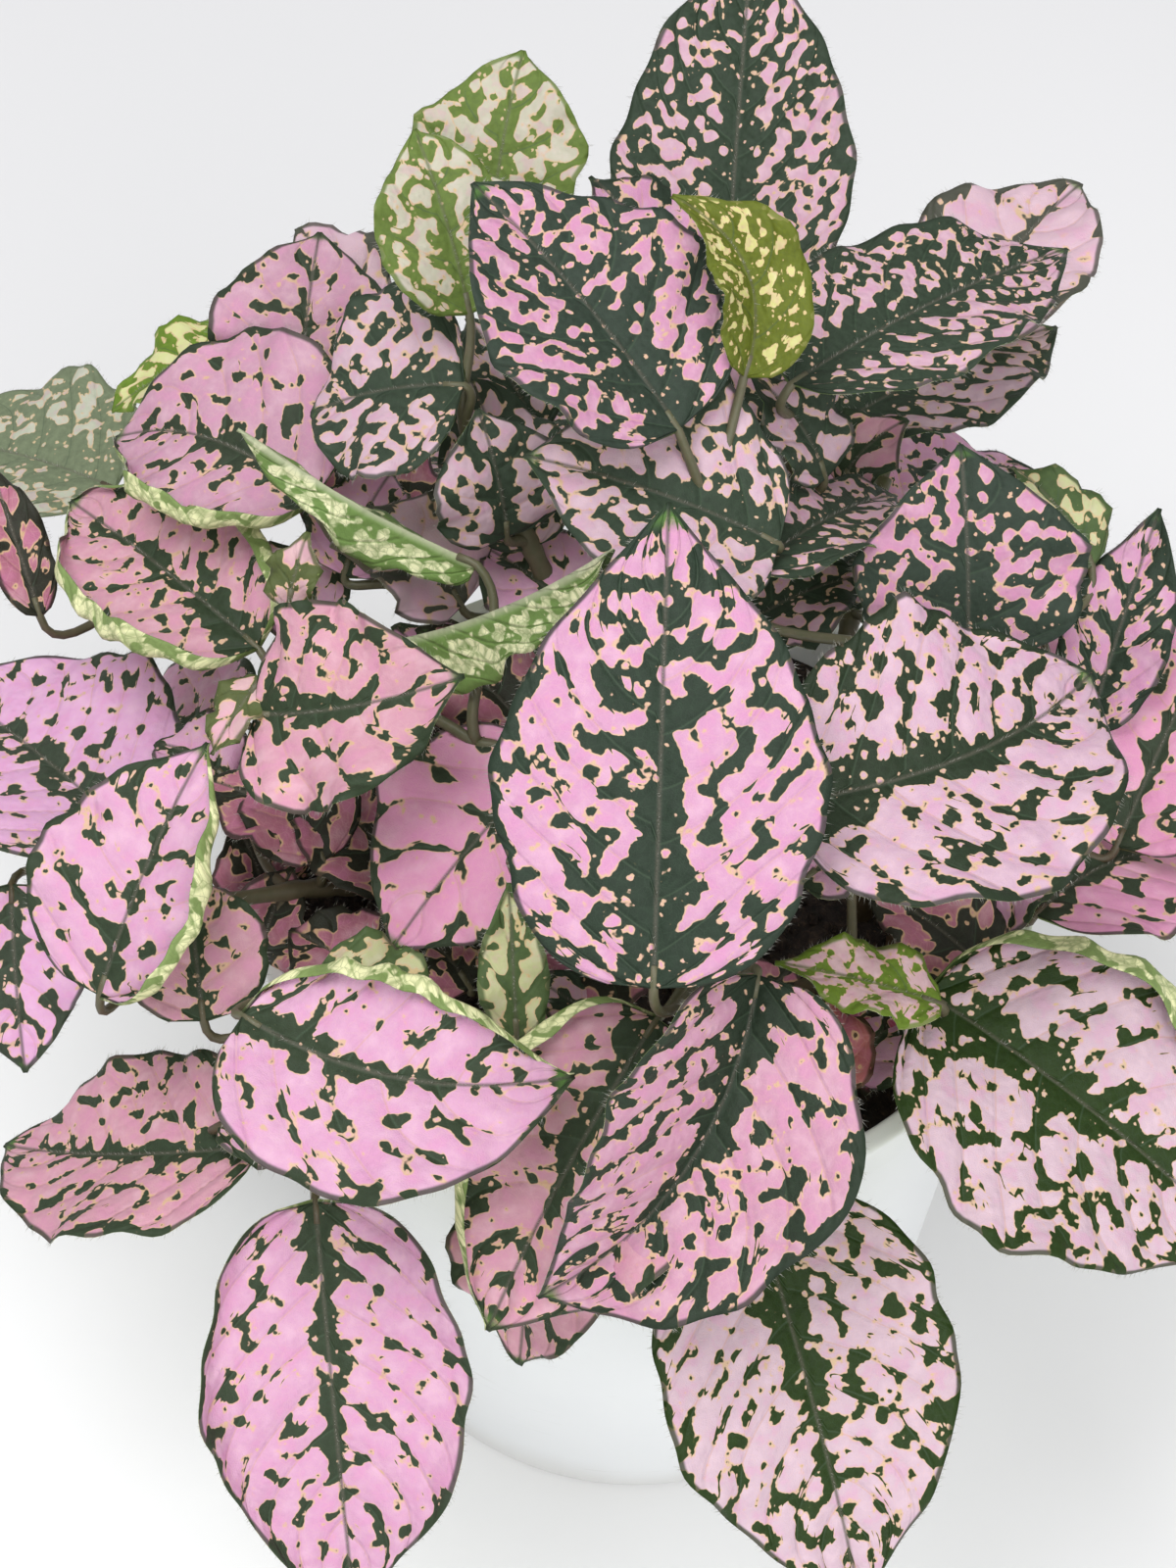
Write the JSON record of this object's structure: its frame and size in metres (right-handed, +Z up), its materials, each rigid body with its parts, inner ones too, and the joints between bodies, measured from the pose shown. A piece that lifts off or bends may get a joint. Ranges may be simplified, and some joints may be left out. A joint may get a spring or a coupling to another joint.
{
  "type": "potted polka dot plant",
  "caption": "Potted polka dot plant: broad pink leaves freckled with dark green on slender stems, over dark soil in a plain white tapered pot.",
  "frame": {"origin": "middle of the pot's flat base, on the surface that the pot stands on", "axes": "+Z up along the pot's axis, -Y towards the front of the plant, +X to the right seen from the front"},
  "size_m": [0.2243, 0.2178, 0.2147],
  "materials": {
    "pot": "satin white moulded plastic",
    "soil": "moist dark peat potting mix, crumbly",
    "foliage": "quilted soft leaf, pink with dark green freckles, fine white hairs on the margins; pale pink-green stems"
  },
  "bodies": {
    "root": {"pot": "pot", "soil": "soil", "stem_front_middle": "foliage", "stem_front_right": "foliage", "stem_right_middle": "foliage", "stem_right": "foliage", "stem_front": "foliage", "stem_front_left": "foliage", "stem_left_front": "foliage", "stem_left": "foliage", "stem_left_middle": "foliage", "stem_left_back": "foliage", "stem_far_left": "foliage", "stem_back_left": "foliage", "stem_back": "foliage", "stem_middle": "foliage", "stem_back_right": "foliage", "stem_far_right": "foliage", "stem_right_back": "foliage", "stem_middle_left": "foliage"}
  },
  "joints": []
}
